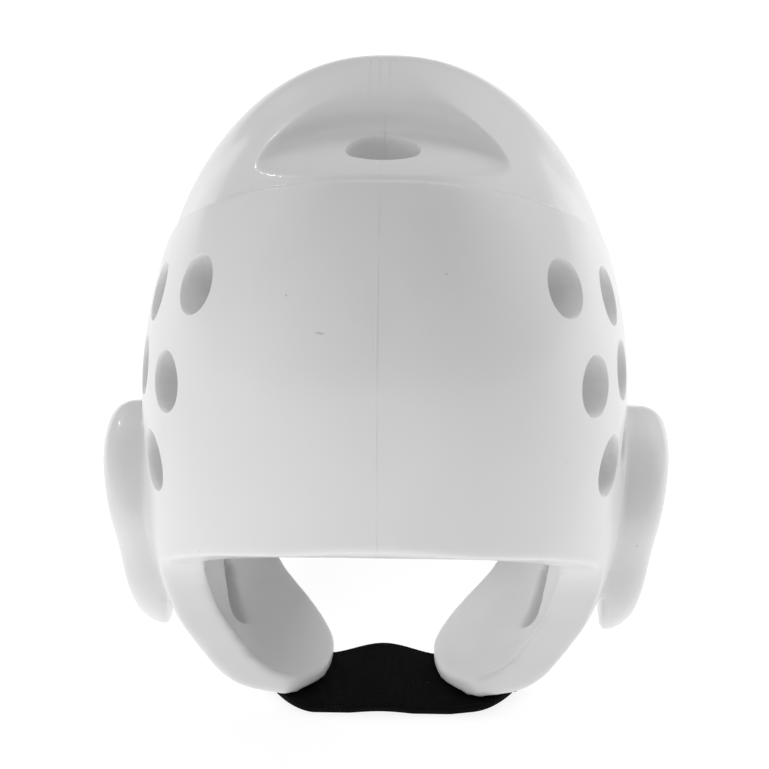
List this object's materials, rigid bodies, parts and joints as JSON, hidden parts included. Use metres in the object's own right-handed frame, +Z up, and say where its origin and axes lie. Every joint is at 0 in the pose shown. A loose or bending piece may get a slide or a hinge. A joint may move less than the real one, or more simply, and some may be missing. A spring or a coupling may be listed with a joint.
{
  "type": "taekwondo headgear",
  "caption": "Dipped-foam martial arts headgear with crown hoop and recess, round vent holes, ear guards, jaw guards and an elastic chin strap.",
  "frame": {"origin": "on the floor below the middle of the shell's box, as the headgear stands on its nape and chin strap", "axes": "+Z up, the face opening towards -Y, +X to the right as the picture shows it; Z is the tallest extent"},
  "size_m": [0.242, 0.2501, 0.2551],
  "materials": {
    "white_vinyl": "glossy dipped vinyl skin over foam",
    "black_elastic": "matt black woven elastic"
  },
  "bodies": {
    "root": {"shell": "white_vinyl", "chin_strap": "black_elastic"}
  },
  "joints": []
}
